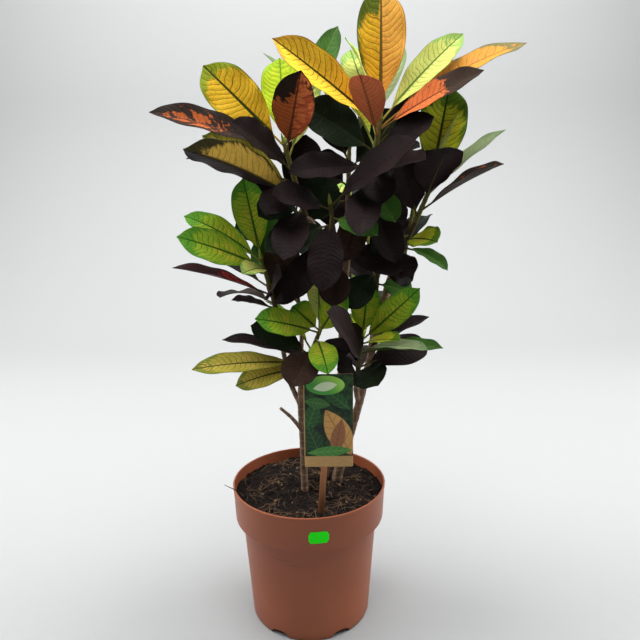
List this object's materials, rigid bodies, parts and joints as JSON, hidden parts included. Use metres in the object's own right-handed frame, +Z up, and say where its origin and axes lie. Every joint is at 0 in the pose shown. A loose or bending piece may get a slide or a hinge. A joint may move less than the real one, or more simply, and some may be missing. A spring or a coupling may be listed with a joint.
{
  "type": "potted croton",
  "caption": "Bushy croton house plant with broad yellow, red and dark leaves on forked woody stems, in a round plastic nursery pot with a care card on a stick.",
  "frame": {"origin": "middle of the pot's underside, on the face it stands on", "axes": "+Z up along the pot's axis; -Y towards the front, where the care card stands"},
  "size_m": [0.4482, 0.3065, 0.8251],
  "materials": {
    "pot_plastic": "satin terracotta-coloured moulded plastic",
    "peat": "loose dark peat compost with fibres",
    "bark": "smooth grey-brown bark with leaf scars",
    "softwood": "bare sawn stick, damp-stained",
    "card_print": "coated printed card",
    "neon_paper": "matt fluorescent label paper",
    "golden_leaf": "waxy yellow to orange leaf with green veins",
    "bright_leaf": "waxy yellow-green leaf with green veins",
    "dark_leaf": "glossy dark green to purple leaf, purple underneath"
  },
  "bodies": {
    "root": {"card_stick": "softwood", "care_card": "card_print", "crown_back_mature_leaves": "dark_leaf", "crown_back_young_leaves": "bright_leaf", "crown_mature_leaves": "dark_leaf", "crown_young_leaves": "golden_leaf", "inner_left_mature_leaves": "dark_leaf", "inner_mature_leaves": "dark_leaf", "inner_right_mature_leaves": "dark_leaf", "left_back_mature_leaves": "dark_leaf", "left_back_young_leaves": "bright_leaf", "lower_left_mature_leaves": "dark_leaf", "lower_left_young_leaves": "bright_leaf", "lower_right_mature_leaves": "dark_leaf", "lower_right_young_leaves": "bright_leaf", "middle_back_mature_leaves": "dark_leaf", "middle_back_young_leaves": "bright_leaf", "middle_left_mature_leaves": "dark_leaf", "middle_left_young_leaves": "bright_leaf", "pot": "pot_plastic", "price_sticker": "neon_paper", "right_back_mature_leaves": "dark_leaf", "right_back_young_leaves": "bright_leaf", "right_mature_leaves": "dark_leaf", "right_rear_mature_leaves": "dark_leaf", "right_rear_young_leaves": "bright_leaf", "right_young_leaves": "bright_leaf", "soil": "peat", "trunk_centre": "bark", "trunk_left": "bark", "trunk_right": "bark", "upper_left_mature_leaves": "dark_leaf", "upper_left_young_leaves": "golden_leaf"}
  },
  "joints": []
}
